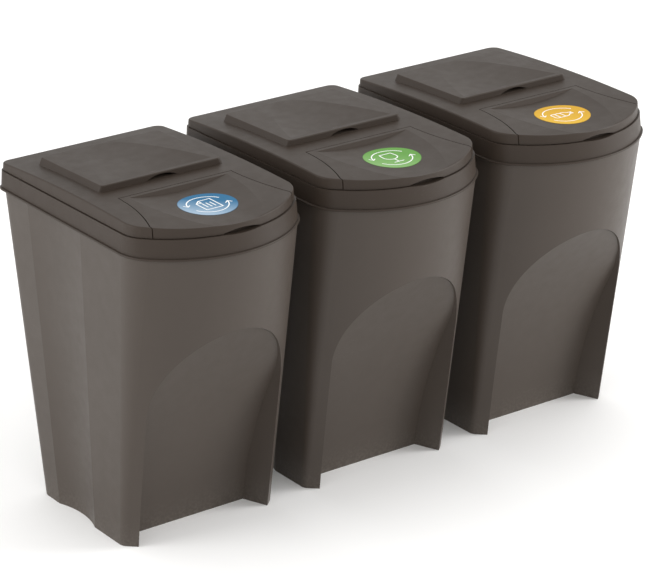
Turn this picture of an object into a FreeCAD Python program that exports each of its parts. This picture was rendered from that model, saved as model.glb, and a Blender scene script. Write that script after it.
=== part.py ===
import FreeCAD, Part
import math
import operator
import os
import Sketcher

# Recycling bin station: three equal pull-front bins that stand side by side.
# Frame: origin at the middle of the footprint on the floor, +X along the row of
# bins, -Y towards the flaps, +Z up. All lengths in millimetres, angles in degrees.

BIN_OFFSETS = (-1, 0, 1)
JOIN = {"+": operator.add, "-": operator.sub, "*": operator.mul, "/": operator.truediv}

SIZES = [
    # the row
    ("bin_gap", 27.8, "free space between neighbouring collars"),
    ("wall", 2.5, "plastic wall"),
    ("reach", 60.0, "how far cutting shapes run past the solids"),
    ("floor_thickness", 4.0, "bottom of the bucket"),
    # bucket, outline at the floor
    ("base_half_width", 126.0, ""),
    ("base_depth", 268.0, "back wall to the front of the bow"),
    ("base_back", 135.0, "back wall behind the origin"),
    ("base_bow_share", 1.3577, "radius of the bowed front, per half width"),
    ("base_rear_radius", 18.0, ""),
    ("base_front_radius", 14.0, ""),
    # bucket, outline of its neck and top edge
    ("mouth_half_width", 133.4, ""),
    ("mouth_depth", 389.0, ""),
    ("mouth_back", 201.0, ""),
    ("mouth_bow_share", 1.2594, ""),
    ("mouth_rear_radius", 22.0, ""),
    ("mouth_front_radius", 40.0, ""),
    ("mouth_height", 473.0, "top edge above the floor, at the origin"),
    ("rim_tilt", 0.4, "the top edge rises to the front by this angle"),
    # bucket, shelf under the collar where the neck starts
    ("shelf_side", 3.8, "the wall stands beyond the neck by this, at the sides"),
    ("shelf_rear", 0.6, "at the back"),
    ("shelf_front", 14.0, "and at the front"),
    ("shelf_gap", 0.8, "between the shelf and the collar"),
    ("shelf_bow_share", 1.261, ""),
    ("shelf_rear_radius", 24.0, ""),
    ("shelf_front_radius", 55.0, ""),
    # flutes in the side walls
    ("flute_low_rear", 86.0, "rear edge of the flute at the floor"),
    ("flute_low_chord", 94.0, ""),
    ("flute_low_depth", 9.0, ""),
    ("flute_high_rear", 125.0, "rear edge of the flute at the shelf"),
    ("flute_high_chord", 136.0, ""),
    ("flute_high_depth", 3.6, ""),
    # arched recess in the front wall
    ("recess_depth", 78.0, "front of the base to the deepest line of the recess"),
    ("leg_width", 34.0, "base's side to the recess, at the floor"),
    ("leg_round", 38.0, "the same at the spring of the round top"),
    ("arch_front_run", 17.0, "the front section stands this far before the mouth"),
    ("arch_front_spread", 28.0, "its foot is wider than the base by this"),
    ("arch_front_round", 10.0, "and its round top by this"),
    ("arch_spring", 200.0, "height where the round top starts"),
    ("arch_rise", 135.0, "from there to where the recess meets the front wall"),
    ("arch_proud", 0.4, "the recess floor ends this far outside the front wall"),
    ("arch_curve", 700.0, "radius of the recess floor, side view"),
    # rim collar
    ("rim_clearance", 0.8, "between the collar and the bucket"),
    ("band_low_side", 4.3, "wall of the collar just above the bead, at its sides"),
    ("band_low_rear", 4.7, "at its back"),
    ("band_low_front", 15.7, "and at its front"),
    ("band_low_bow_share", 1.215, ""),
    ("rim_low_rear_radius", 18.0, ""),
    ("rim_low_front_radius", 60.0, ""),
    ("band_top_side", 1.8, "the same at the top of the collar"),
    ("band_top_rear", 4.2, ""),
    ("band_top_front", 12.2, ""),
    ("band_top_bow_share", 1.22, ""),
    ("rim_top_rear_radius", 16.0, ""),
    ("rim_top_front_radius", 44.0, ""),
    ("bead_proud", 2.6, "bead beyond the band, at its front and sides"),
    ("bead_proud_rear", 0.6, "and at its back"),
    ("bead_bow_share", 1.21, ""),
    ("bead_rear_radius", 20.0, ""),
    ("bead_front_radius", 62.0, ""),
    ("bead_drop", 25.0, "underside of the bead below the bucket's edge"),
    ("bead_height", 3.4, ""),
    ("bead_edge_radius", 1.2, ""),
    ("flange", 3.0, "top flange of the collar"),
    ("opening_inset", 6.0, "bag opening inside the bucket's outline"),
    # lid panel
    ("ledge_side", 2.2, "collar's top beyond the lid, at the sides"),
    ("ledge_rear", 1.0, ""),
    ("ledge_front", 3.0, ""),
    ("lid_bow_share", 1.225, ""),
    ("lid_low_rear_radius", 14.5, ""),
    ("lid_low_front_radius", 42.0, ""),
    ("lid_lean", 2.2, "the lid's outline shrinks by this up to its high level"),
    ("lid_high_rear_radius", 12.5, ""),
    ("lid_high_front_radius", 39.8, ""),
    ("lid_high_rise", 34.5, "high level above the bucket's edge"),
    ("lid_gap", 0.8, "parting line between the band and the panel"),
    ("lid_edge_radius", 2.0, "rounding of the panel's top edge"),
    ("dome_share", 7.4, "radius of the panel's crown, per depth of the mouth"),
    ("dome_rise", 21.5, "highest line of the panel above the bucket's edge"),
    ("dome_place", 0.60154, "its place before the back wall, per depth of the mouth"),
    # raised block with its scoop
    ("block_inset", 36.4, "side of the block's top inside the mouth's outline"),
    ("block_setback", 183.0, "block's front behind the mouth's front"),
    ("block_rear_inset", 47.0, "block's back before the mouth's back"),
    ("block_front_rise", 8.5, "block's front above the highest line"),
    ("block_back_rise", 4.0, "block's back above it"),
    ("block_root_drop", 10.5, "its foot inside the panel"),
    ("block_spread", 9.0, "its foot is wider than its top by this, each side"),
    ("block_corner_radius", 5.0, ""),
    ("block_edge_radius", 1.4, ""),
    ("scoop_share", 5.8, "radius of the scoop, per half width of the block"),
    ("scoop_depth", 7.2, "below the block's top, at the block's front"),
    ("scoop_fade", 0.3, "above it, at the block's back"),
    # finger pocket under an arched lip at the block's front
    ("lip_radius", 60.0, ""),
    ("lip_rise", 4.5, "top of the lip above the scoop, at the block's front"),
    ("lip_run", 25.0, "the lip's sloping top sinks into the scoop over this length"),
    ("lip_sink", 1.5, "and ends this far below it"),
    ("lip_wall", 1.4, ""),
    ("pocket_depth", 12.0, ""),
    ("pocket_floor", 0.3, "above the panel's highest line"),
    # front flap
    ("flap_length", 150.6, "back edge of its opening to the mouth's front"),
    ("flap_hinge_inset", 41.1, "opening's back corner inside the mouth's outline"),
    ("flap_corner_setback", 42.0, "bend of its side behind the mouth's front"),
    ("flap_corner_inset", 20.6, "and inside its outline"),
    ("flap_side_radius", 297.0, ""),
    ("flap_end_run", 27.0, "the opening's cutting shape runs past the mouth's front"),
    ("flap_gap", 1.2, "all round the flap"),
    ("flap_depth", 8.0, "panel's highest line to the flap's underside"),
    ("flap_skirt_setback", 50.0, "the skirt hangs in front of this line"),
    ("dish_radius", 546.0, ""),
    ("dish_back_run", 14.6, "start of the dish's floor before the opening's back edge"),
    ("dish_back_drop", 5.8, "the floor there, below the panel's highest line"),
    ("dish_front_setback", 6.0, "end of the floor behind the mouth's front"),
    ("dish_front_drop", 5.6, "the floor there"),
    ("dish_wall_run", 9.0, "run of the dish's steep back wall"),
    ("dish_rim_run", 5.6, "top of that wall before the opening's back edge"),
    ("slot_radius", 110.0, "arch of the finger slot in the skirt"),
    ("slot_drop", 12.1, "its top below the panel's highest line"),
    ("dip_radius", 300.0, "finger dip in the collar below the slot"),
    ("dip_rise", 2.9, "its lowest line above the bucket's edge"),
    # hinges
    ("flap_pin_radius", 1.3, ""),
    ("flap_pin_reach", 11.0, "pin each side of the opening's corner"),
    ("flap_barrel_wall", 1.3, "plastic round that pin"),
    ("flap_boss_end", 1.5, "boss beyond the pin"),
    ("lid_pin_radius", 1.6, ""),
    ("lid_pin_length", 30.0, ""),
    ("lid_axis_inset", 0.4, "lid hinge axis before the bucket's back"),
    ("knuckle_wall", 1.8, "plastic round the lid pin"),
    ("knuckle_rise", 3.6, "underside of the knuckles above the bucket's edge"),
    ("knuckle_width", 9.0, ""),
    ("knuckle_place", 75.0, "middle of each lid hinge"),
    ("ear_width", 10.0, ""),
    ("ear_play", 0.6, "each side of an ear"),
    ("running_clearance", 0.06, "pins in the bores they turn in"),
    ("rear_trim", 2.3, "the lid's back skirt stops this far below the hinge axis"),
    ("rear_trim_reach", 3.0, "and is that short from here back, ahead of the axis"),
    # stickers
    ("sticker_radius", 41.0, ""),
    ("sticker_thickness", 0.35, ""),
    ("sticker_setback", 72.0, "middle of the sticker behind the mouth's front"),
    ("sticker_seat", 0.02, "glue line"),
    # linking clips
    ("clip_setback", 130.0, "middle of the front clips behind the mouth's front"),
    ("clip_rear_inset", 43.0, "middle of the rear clips before the mouth's back"),
    ("clip_length", 18.0, ""),
    ("clip_drop", 63.5, "underside of a clip below the bucket's edge"),
    ("clip_height", 26.0, ""),
    ("clip_web", 5.0, ""),
]

# Sizes that follow from the ones above, worked out from left to right.
FOLLOWS = {
    "mouth_front": "mouth_depth - mouth_back",
    "mouth_bow": "mouth_half_width * mouth_bow_share",
    "base_front": "base_depth - base_back",
    "base_bow": "base_half_width * base_bow_share",
    "shelf_half_width": "mouth_half_width + shelf_side",
    "shelf_back": "mouth_back + shelf_rear",
    "shelf_depth": "mouth_depth + shelf_rear + shelf_front",
    "shelf_bow": "shelf_half_width * shelf_bow_share",
    "shelf_level": "mouth_height - bead_drop - shelf_gap",
    "front_lean": "mouth_front + shelf_front - base_front",
    "arch_back_plane": "base_front - recess_depth",
    "arch_back_foot": "base_half_width - leg_width",
    "arch_back_radius": "base_half_width - leg_round",
    "arch_front_plane": "mouth_front + arch_front_run",
    "arch_front_foot": "base_half_width + arch_front_spread",
    "arch_front_radius": "base_half_width + arch_front_round",
    "arch_top": "arch_spring + arch_rise",
    "arch_reach": "arch_top / shelf_level * front_lean + base_front + arch_proud",
    "rim_low_half_width": "mouth_half_width + rim_clearance + band_low_side",
    "rim_low_back": "mouth_back + rim_clearance + band_low_rear",
    "rim_low_front": "mouth_front + rim_clearance + band_low_front",
    "rim_low_depth": "rim_low_back + rim_low_front",
    "rim_low_bow": "rim_low_half_width * band_low_bow_share",
    "rim_top_half_width": "mouth_half_width + rim_clearance + band_top_side",
    "rim_top_back": "mouth_back + rim_clearance + band_top_rear",
    "rim_top_front": "mouth_front + rim_clearance + band_top_front",
    "rim_top_depth": "rim_top_back + rim_top_front",
    "rim_top_bow": "rim_top_half_width * band_top_bow_share",
    "bead_half_width": "rim_low_half_width + bead_proud",
    "bead_back": "rim_low_back + bead_proud_rear",
    "bead_depth": "bead_back + rim_low_front + bead_proud",
    "bead_bow": "bead_half_width * bead_bow_share",
    "bead_low": "mouth_height - bead_drop",
    "pitch": "bead_half_width + bead_half_width + bin_gap",
    "lid_low_half_width": "rim_top_half_width - ledge_side",
    "lid_low_back": "rim_top_back - ledge_rear",
    "lid_low_depth": "lid_low_back + rim_top_front - ledge_front",
    "lid_low_bow": "lid_low_half_width * lid_bow_share",
    "lid_high_half_width": "lid_low_half_width - lid_lean",
    "lid_high_back": "lid_low_back - lid_lean",
    "lid_high_depth": "lid_low_depth - lid_lean - lid_lean",
    "lid_high_bow": "lid_low_bow - lid_lean",
    "lid_high_level": "mouth_height + lid_high_rise",
    "dome_radius": "mouth_depth * dome_share",
    "dome_top": "mouth_height + dome_rise",
    "dome_forward": "mouth_depth * dome_place - mouth_back",
    "block_half_width": "mouth_half_width - block_inset",
    "block_front": "mouth_front - block_setback",
    "block_back": "mouth_back - block_rear_inset",
    "block_front_top": "dome_top + block_front_rise",
    "block_back_top": "dome_top + block_back_rise",
    "block_root": "dome_top - block_root_drop",
    "scoop_radius": "block_half_width * scoop_share",
    "scoop_front_level": "block_front_top - scoop_depth",
    "scoop_back_level": "block_back_top + scoop_fade",
    "lip_rear": "block_front - lip_run",
    "lip_rear_level": "scoop_front_level - lip_sink",
    "lip_front_level": "scoop_front_level + lip_rise",
    "pocket_level": "dome_top + pocket_floor",
    "flap_hinge_line": "mouth_front - flap_length",
    "flap_hinge_half_width": "mouth_half_width - flap_hinge_inset",
    "flap_corner_half_width": "mouth_half_width - flap_corner_inset",
    "flap_end_line": "mouth_front + flap_end_run",
    "flap_under": "dome_top - flap_depth",
    "flap_skirt_line": "mouth_front - flap_skirt_setback",
    "dish_back_line": "flap_hinge_line + dish_back_run",
    "dish_back_level": "dome_top - dish_back_drop",
    "dish_front_line": "mouth_front - dish_front_setback",
    "dish_front_level": "dome_top - dish_front_drop",
    "dish_rim_setback": "flap_length - dish_rim_run",
    "slot_top": "dome_top - slot_drop",
    "dip_level": "mouth_height + dip_rise",
    "flap_pin_length": "flap_pin_reach + flap_pin_reach",
    "flap_barrel_radius": "flap_pin_radius + flap_barrel_wall",
    "flap_boss_width": "flap_pin_reach + flap_boss_end",
    "knuckle_radius": "lid_pin_radius + knuckle_wall",
    "lid_axis_back": "mouth_back - lid_axis_inset",
    "lid_axis_height": "mouth_height + knuckle_rise + knuckle_radius",
    "sticker_centre": "mouth_front - sticker_setback",
    "clip_front": "clip_setback - mouth_front",
    "clip_rear": "mouth_back - clip_rear_inset",
    "clip_low": "mouth_height - clip_drop",
}

doc = FreeCAD.newDocument("bin_station")
sheet = doc.addObject("Spreadsheet::Sheet", "Sizes")


def fill_sheet():
    """Write every driving size into the sheet, one aliased cell each."""
    for row, (alias, size, note) in enumerate(SIZES, start=1):
        sheet.set("A%d" % row, alias)
        sheet.set("B%d" % row, "%r" % size)
        sheet.setAlias("B%d" % row, alias)
        sheet.set("C%d" % row, note)
    doc.recompute()


def size(alias):
    """The value of a size in the sheet, or of one that follows from others."""
    if alias not in FOLLOWS:
        return float(sheet.get(alias))
    first, *rest = FOLLOWS[alias].split()
    total = size(first)
    for sign, other in zip(rest[::2], rest[1::2]):
        total = JOIN[sign](total, size(other))
    return total


def cell(alias):
    """The expression that reads a size, or works it out from others."""
    if alias not in FOLLOWS:
        return "Sizes." + alias
    words = [word if word in JOIN else cell(word) for word in FOLLOWS[alias].split()]
    return "(%s)" % " ".join(words)


class Sum:
    """A size from the sheet with other sizes added or taken away."""

    def __init__(self, alias, plus=(), minus=(), times=1):
        self.value = times * size(alias)
        self.text = cell(alias) if times == 1 else "%d * %s" % (times, cell(alias))
        for other in plus:
            self.value += size(other)
            self.text += " + " + cell(other)
        for other in minus:
            self.value -= size(other)
            self.text += " - " + cell(other)


def bind(obj, prop, expression):
    """Drive a property of an object from the sheet."""
    obj.setExpression(prop, expression)
    return obj


def vector(x, y, z=0.0):
    return FreeCAD.Vector(x, y, z)


# ---------------------------------------------------------------- sketches


def dimension(sketch, kind, *args):
    """Add one driving dimension: geometry references, then a Sum."""
    total = args[-1]
    number = sketch.addConstraint(Sketcher.Constraint(kind, *args[:-1], total.value))
    sketch.setExpression("Constraints[%d]" % number, total.text)


def rule(sketch, kind, *args):
    sketch.addConstraint(Sketcher.Constraint(kind, *args))


def add_line(sketch, start, end):
    return sketch.addGeometry(Part.LineSegment(vector(*start), vector(*end)), False)


def add_arc(sketch, centre, radius, start, end):
    circle = Part.Circle(vector(*centre), vector(0, 0, 1), radius)
    return sketch.addGeometry(Part.ArcOfCircle(circle, start, end), False)


def plan_sketch(name, prefix, inset=(), outset=()):
    """Outline seen from above: straight back and sides, bowed front, round corners.

    The sizes are the ones whose aliases start with the prefix. The whole outline
    moves inwards by the sizes in inset and outwards by those in outset.
    """
    def moved(key, twice=False):
        minus = tuple(inset) * (2 if twice else 1)
        plus = tuple(outset) * (2 if twice else 1)
        return Sum(prefix + key, plus, minus)

    half = moved("_half_width")
    back = moved("_back")
    bow = moved("_bow")
    rear = moved("_rear_radius")
    front = moved("_front_radius")
    depth = moved("_depth", twice=True)
    bow_y = back.value - depth.value + bow.value
    corner_x = half.value - front.value
    corner_y = bow_y - math.sqrt((bow.value - front.value) ** 2 - corner_x ** 2)
    turn = math.atan2(bow_y - corner_y, corner_x)
    rear_x = half.value - rear.value
    rear_y = back.value - rear.value
    quarter = math.pi / 2
    sketch = doc.addObject("Sketcher::SketchObject", name)
    back_line = add_line(sketch, (-rear_x, back.value), (rear_x, back.value))
    rear_right = add_arc(sketch, (rear_x, rear_y), rear.value, 0, quarter)
    right = add_line(sketch, (half.value, rear_y), (half.value, corner_y))
    front_right = add_arc(sketch, (corner_x, corner_y), front.value, -turn, 0)
    bow_arc = add_arc(sketch, (0, bow_y), bow.value, math.pi + turn, 2 * math.pi - turn)
    front_left = add_arc(sketch, (-corner_x, corner_y), front.value, math.pi, math.pi + turn)
    left = add_line(sketch, (-half.value, corner_y), (-half.value, rear_y))
    rear_left = add_arc(sketch, (-rear_x, rear_y), rear.value, quarter, math.pi)
    rule(sketch, "Tangent", back_line, 2, rear_right, 2)
    rule(sketch, "Tangent", rear_right, 1, right, 1)
    rule(sketch, "Tangent", right, 2, front_right, 2)
    rule(sketch, "Tangent", front_right, 1, bow_arc, 2)
    rule(sketch, "Tangent", bow_arc, 1, front_left, 2)
    rule(sketch, "Tangent", front_left, 1, left, 1)
    rule(sketch, "Tangent", left, 2, rear_left, 2)
    rule(sketch, "Tangent", rear_left, 1, back_line, 1)
    rule(sketch, "Horizontal", back_line)
    rule(sketch, "Vertical", right)
    rule(sketch, "Vertical", left)
    rule(sketch, "PointOnObject", bow_arc, 3, -2)
    rule(sketch, "Equal", rear_right, rear_left)
    rule(sketch, "Equal", front_right, front_left)
    dimension(sketch, "Radius", rear_right, rear)
    dimension(sketch, "Radius", front_right, front)
    dimension(sketch, "Radius", bow_arc, bow)
    dimension(sketch, "DistanceX", -1, 1, right, 1, half)
    dimension(sketch, "DistanceX", left, 2, -1, 1, half)
    dimension(sketch, "DistanceY", -1, 1, back_line, 1, back)
    drop = Sum(prefix + "_depth", tuple(outset), tuple(inset) + (prefix + "_bow",))
    dimension(sketch, "DistanceY", bow_arc, 3, back_line, 1, drop)
    return sketch


def lift(sketch, expression):
    """Place a level sketch at a height."""
    bind(sketch, "Placement.Base.z", expression)
    return sketch


def tilt(sketch, expression):
    """Place a sketch on a plane that rises towards the front, at a height."""
    angle = FreeCAD.Rotation(vector(-1, 0, 0), size("rim_tilt"))
    sketch.Placement = FreeCAD.Placement(vector(0, 0, 0), angle)
    bind(sketch, "Placement.Rotation.Angle", cell("rim_tilt"))
    return lift(sketch, expression)


def flute_sketch(name, prefix, wall_alias, extra=()):
    """Section of the flute at one level: a shallow arc into the right side wall."""
    wall_x = Sum(wall_alias)
    rear = Sum(prefix + "_rear", plus=extra)
    chord = Sum(prefix + "_chord", plus=tuple(extra) * 2)
    depth = Sum(prefix + "_depth", plus=extra)
    outer = Sum(wall_alias, plus=("base_rear_radius",))
    half = chord.value / 2
    radius = (half ** 2 + depth.value ** 2) / (2 * depth.value)
    mid = rear.value - half
    span = math.asin(half / radius)
    front = rear.value - chord.value
    centre_x = wall_x.value - depth.value + radius
    sketch = doc.addObject("Sketcher::SketchObject", name)
    arc = add_arc(sketch, (centre_x, mid), radius, math.pi - span, math.pi + span)
    low = add_line(sketch, (wall_x.value, front), (outer.value, front))
    side = add_line(sketch, (outer.value, front), (outer.value, rear.value))
    high = add_line(sketch, (outer.value, rear.value), (wall_x.value, rear.value))
    rule(sketch, "Coincident", arc, 2, low, 1)
    rule(sketch, "Coincident", low, 2, side, 1)
    rule(sketch, "Coincident", side, 2, high, 1)
    rule(sketch, "Coincident", high, 2, arc, 1)
    rule(sketch, "Horizontal", low)
    rule(sketch, "Vertical", side)
    rule(sketch, "Horizontal", high)
    rule(sketch, "Vertical", arc, 1, arc, 2)
    dimension(sketch, "DistanceX", -1, 1, arc, 1, wall_x)
    dimension(sketch, "DistanceX", -1, 1, side, 1, outer)
    dimension(sketch, "DistanceY", -1, 1, arc, 1, rear)
    dimension(sketch, "DistanceY", arc, 2, arc, 1, chord)
    number = sketch.addConstraint(Sketcher.Constraint("Radius", arc, radius))
    sketch.setExpression("Constraints[%d]" % number,
                         "(((%s) / 2) ^ 2 + (%s) ^ 2) / (2 * (%s))"
                         % (chord.text, depth.text, depth.text))
    return sketch


def arch_sketch(name, prefix, extra=()):
    """Arch on an upright plane that faces the front: leaning sides, round top."""
    foot = Sum(prefix + "_foot", plus=extra)
    radius = Sum(prefix + "_radius", plus=extra)
    spring = Sum("arch_spring")
    under = Sum("wall")
    sketch = doc.addObject("Sketcher::SketchObject", name)
    arc = add_arc(sketch, (0, spring.value), radius.value, 0, math.pi)
    left = add_line(sketch, (-radius.value, spring.value), (-foot.value, -under.value))
    low = add_line(sketch, (-foot.value, -under.value), (foot.value, -under.value))
    right = add_line(sketch, (foot.value, -under.value), (radius.value, spring.value))
    rule(sketch, "Coincident", arc, 2, left, 1)
    rule(sketch, "Coincident", left, 2, low, 1)
    rule(sketch, "Coincident", low, 2, right, 1)
    rule(sketch, "Coincident", right, 2, arc, 1)
    rule(sketch, "Horizontal", low)
    rule(sketch, "PointOnObject", arc, 3, -2)
    rule(sketch, "Horizontal", arc, 1, arc, 3)
    rule(sketch, "Horizontal", arc, 2, arc, 3)
    dimension(sketch, "DistanceX", -1, 1, low, 2, foot)
    dimension(sketch, "DistanceX", low, 1, -1, 1, foot)
    dimension(sketch, "DistanceY", low, 1, -1, 1, under)
    dimension(sketch, "DistanceY", -1, 1, arc, 3, spring)
    dimension(sketch, "Radius", arc, radius)
    upright = FreeCAD.Rotation(vector(1, 0, 0), 90)
    sketch.Placement = FreeCAD.Placement(vector(0, 0, 0), upright)
    bind(sketch, "Placement.Base.y", "-" + cell(prefix + "_plane"))
    return sketch


SIDE_VIEW = FreeCAD.Rotation(FreeCAD.Vector(0, -1, 0), FreeCAD.Vector(0, 0, 1),
                             FreeCAD.Vector(-1, 0, 0), "ZXY")


def recess_profile(name, extra=()):
    """Side view of the space in front of the recess's curved floor."""
    foot = Sum("arch_back_plane", minus=extra)
    reach = Sum("arch_reach", minus=extra)
    top = Sum("arch_top", plus=extra)
    under = Sum("wall")
    outer = Sum("arch_front_plane")
    curve = Sum("arch_curve")
    start = vector(foot.value, -under.value)
    end = vector(reach.value, top.value)
    chord = end - start
    middle = start + chord * 0.5
    along = chord.normalize()
    normal = vector(along.y, -along.x)
    half = (end - start).Length / 2
    centre = middle + normal * math.sqrt(curve.value ** 2 - half ** 2)
    first = math.atan2(end.y - centre.y, end.x - centre.x) % (2 * math.pi)
    last = math.atan2(start.y - centre.y, start.x - centre.x) % (2 * math.pi)
    sketch = doc.addObject("Sketcher::SketchObject", name)
    arc = add_arc(sketch, (centre.x, centre.y), curve.value, first, last)
    top_line = add_line(sketch, (end.x, end.y), (outer.value, end.y))
    front = add_line(sketch, (outer.value, end.y), (outer.value, start.y))
    low = add_line(sketch, (outer.value, start.y), (start.x, start.y))
    rule(sketch, "Coincident", arc, 1, top_line, 1)
    rule(sketch, "Coincident", top_line, 2, front, 1)
    rule(sketch, "Coincident", front, 2, low, 1)
    rule(sketch, "Coincident", low, 2, arc, 2)
    rule(sketch, "Horizontal", top_line)
    rule(sketch, "Vertical", front)
    rule(sketch, "Horizontal", low)
    dimension(sketch, "DistanceX", -1, 1, arc, 2, foot)
    dimension(sketch, "DistanceY", arc, 2, -1, 1, under)
    dimension(sketch, "DistanceX", -1, 1, arc, 1, reach)
    dimension(sketch, "DistanceY", -1, 1, arc, 1, top)
    dimension(sketch, "DistanceX", -1, 1, front, 1, outer)
    dimension(sketch, "Radius", arc, curve)
    sketch.Placement = FreeCAD.Placement(vector(0, 0, 0), SIDE_VIEW)
    return sketch


def flap_sketch(name, inset=(), outset=()):
    """Outline of the flap from above: straight back, sides that bend outwards.

    Its lengths are measured back from the front of the mouth.
    """
    def moved(alias, sign=1):
        if sign > 0:
            return Sum(alias, plus=outset, minus=inset)
        return Sum(alias, plus=inset, minus=outset)

    hinge = moved("flap_hinge_half_width")
    corner = moved("flap_corner_half_width")
    back = moved("flap_length")
    bend = moved("flap_corner_setback")
    radius = moved("flap_side_radius", -1)
    front = Sum("flap_end_run")
    start = vector(hinge.value, -back.value)
    end = vector(corner.value, -bend.value)
    middle = (start + end) * 0.5
    along = (end - start).normalize()
    half = (end - start).Length / 2
    away = vector(along.y, -along.x)
    centre = middle + away * math.sqrt(radius.value ** 2 - half ** 2)
    first = math.atan2(end.y - centre.y, end.x - centre.x) % (2 * math.pi)
    last = math.atan2(start.y - centre.y, start.x - centre.x) % (2 * math.pi)
    sketch = doc.addObject("Sketcher::SketchObject", name)
    back_line = add_line(sketch, (-start.x, start.y), (start.x, start.y))
    right_arc = add_arc(sketch, (centre.x, centre.y), radius.value, first, last)
    right = add_line(sketch, (end.x, end.y), (end.x, front.value))
    front_line = add_line(sketch, (end.x, front.value), (-end.x, front.value))
    left = add_line(sketch, (-end.x, front.value), (-end.x, end.y))
    left_arc = add_arc(sketch, (-centre.x, centre.y), radius.value,
                       math.pi - last, math.pi - first)
    rule(sketch, "Coincident", back_line, 2, right_arc, 2)
    rule(sketch, "Coincident", right_arc, 1, right, 1)
    rule(sketch, "Coincident", right, 2, front_line, 1)
    rule(sketch, "Coincident", front_line, 2, left, 1)
    rule(sketch, "Coincident", left, 2, left_arc, 2)
    rule(sketch, "Coincident", left_arc, 1, back_line, 1)
    rule(sketch, "Horizontal", back_line)
    rule(sketch, "Horizontal", front_line)
    rule(sketch, "Vertical", right)
    rule(sketch, "Vertical", left)
    dimension(sketch, "DistanceX", -1, 1, back_line, 2, hinge)
    dimension(sketch, "DistanceX", back_line, 1, -1, 1, hinge)
    dimension(sketch, "DistanceX", -1, 1, right, 1, corner)
    dimension(sketch, "DistanceX", left, 2, -1, 1, corner)
    dimension(sketch, "DistanceY", back_line, 1, -1, 1, back)
    dimension(sketch, "DistanceY", right, 1, -1, 1, bend)
    dimension(sketch, "DistanceY", left, 2, -1, 1, bend)
    dimension(sketch, "DistanceY", -1, 1, front_line, 1, front)
    dimension(sketch, "Radius", right_arc, radius)
    dimension(sketch, "Radius", left_arc, radius)
    turned = FreeCAD.Rotation(vector(0, 0, 1), 180)
    sketch.Placement = FreeCAD.Placement(vector(0, 0, 0), turned)
    bind(sketch, "Placement.Base.y", "-" + cell("mouth_front"))
    return sketch


# ---------------------------------------------------------------- solids


def loft(name, *sections):
    solid = doc.addObject("Part::Loft", name)
    solid.Sections = list(sections)
    solid.Solid = True
    solid.Ruled = True
    return solid


def extrusion(name, base, direction, length, both=False):
    solid = doc.addObject("Part::Extrusion", name)
    solid.Base = base
    solid.DirMode = "Custom"
    solid.Dir = direction
    solid.Solid = True
    solid.Symmetric = both
    bind(solid, "LengthFwd", length)
    return solid


def cylinder(name, radius, height):
    solid = doc.addObject("Part::Cylinder", name)
    bind(solid, "Radius", radius)
    bind(solid, "Height", height)
    return solid


def box(name, length, width, height):
    solid = doc.addObject("Part::Box", name)
    bind(solid, "Length", length)
    bind(solid, "Width", width)
    bind(solid, "Height", height)
    return solid


def along_x(obj):
    """Lay an upright primitive along the row."""
    obj.Placement = FreeCAD.Placement(vector(0, 0, 0), FreeCAD.Rotation(vector(0, 1, 0), 90))
    return obj


def along_y(obj):
    """Lay an upright primitive so that it runs to the front."""
    obj.Placement = FreeCAD.Placement(vector(0, 0, 0), FreeCAD.Rotation(vector(1, 0, 0), 90))
    return obj


def place(obj, x=None, y=None, z=None):
    for axis, expression in (("x", x), ("y", y), ("z", z)):
        if expression is not None:
            bind(obj, "Placement.Base." + axis, expression)
    return obj


def cut(name, base, *tools):
    """Take tools away from a solid."""
    result = doc.addObject("Part::Cut", name)
    result.Base = base
    result.Tool = tools[0] if len(tools) == 1 else fuse(name + "_tools", *tools)
    return result


def fuse(name, *shapes):
    result = doc.addObject("Part::MultiFuse", name)
    result.Shapes = list(shapes)
    return result


def common(name, first, second):
    result = doc.addObject("Part::Common", name)
    result.Base = first
    result.Tool = second
    return result


def mirror_x(name, source):
    result = doc.addObject("Part::Mirroring", name)
    result.Source = source
    result.Normal = vector(1, 0, 0)
    return result


def rounded(name, base, alias, wanted):
    """Round the edges of a solid that the wanted function picks."""
    doc.recompute()
    radius = size(alias)
    picked = []
    for number, edge in enumerate(base.Shape.Edges, start=1):
        if wanted(edge):
            picked.append((number, radius, radius))
    result = doc.addObject("Part::Fillet", name)
    result.Base = base
    result.Edges = picked
    return result


def is_upright(edge):
    return abs(edge.tangentAt(edge.FirstParameter).z) > 0.7


def is_level(edge):
    return edge.BoundBox.ZLength < 0.01


def is_top_edge(edge):
    """An edge where the panel's crown meets its skirt."""
    middle = edge.valueAt((edge.FirstParameter + edge.LastParameter) / 2)
    rise = middle.z - (size("dome_top") - size("dome_radius"))
    gap = math.hypot(middle.y + size("dome_forward"), rise) - size("dome_radius")
    return abs(gap) < 0.01


def is_block_top(edge):
    low = min(vertex.Z for vertex in edge.Vertexes)
    return low > size("block_root") + size("block_edge_radius")


# ---------------------------------------------------------------- bucket


def flute(name, extra=()):
    """Both side flutes, from the floor up to the shelf."""
    low = lift(flute_sketch(name + "_low", "flute_low", "base_half_width", extra),
               "-" + cell("wall"))
    high = lift(flute_sketch(name + "_high", "flute_high", "shelf_half_width", extra),
                cell("shelf_level") + " + " + cell("wall"))
    right = loft(name + "_right", low, high)
    return right, mirror_x(name + "_left", right)


def recess(name, extra=()):
    """Arched recess: an arch that narrows inwards, over a curved floor."""
    deep = arch_sketch(name + "_deep", "arch_back", extra)
    outer = arch_sketch(name + "_outer", "arch_front", extra)
    bind(deep, "Placement.Base.y", "-(%s) + %s" % (cell("arch_back_plane"), cell("wall")))
    arch = loft(name + "_arch", deep, outer)
    width = "4 * " + cell("base_half_width")
    front = extrusion(name + "_front", recess_profile(name + "_side", extra),
                      vector(1, 0, 0), width, both=True)
    return common(name, arch, front)


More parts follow.
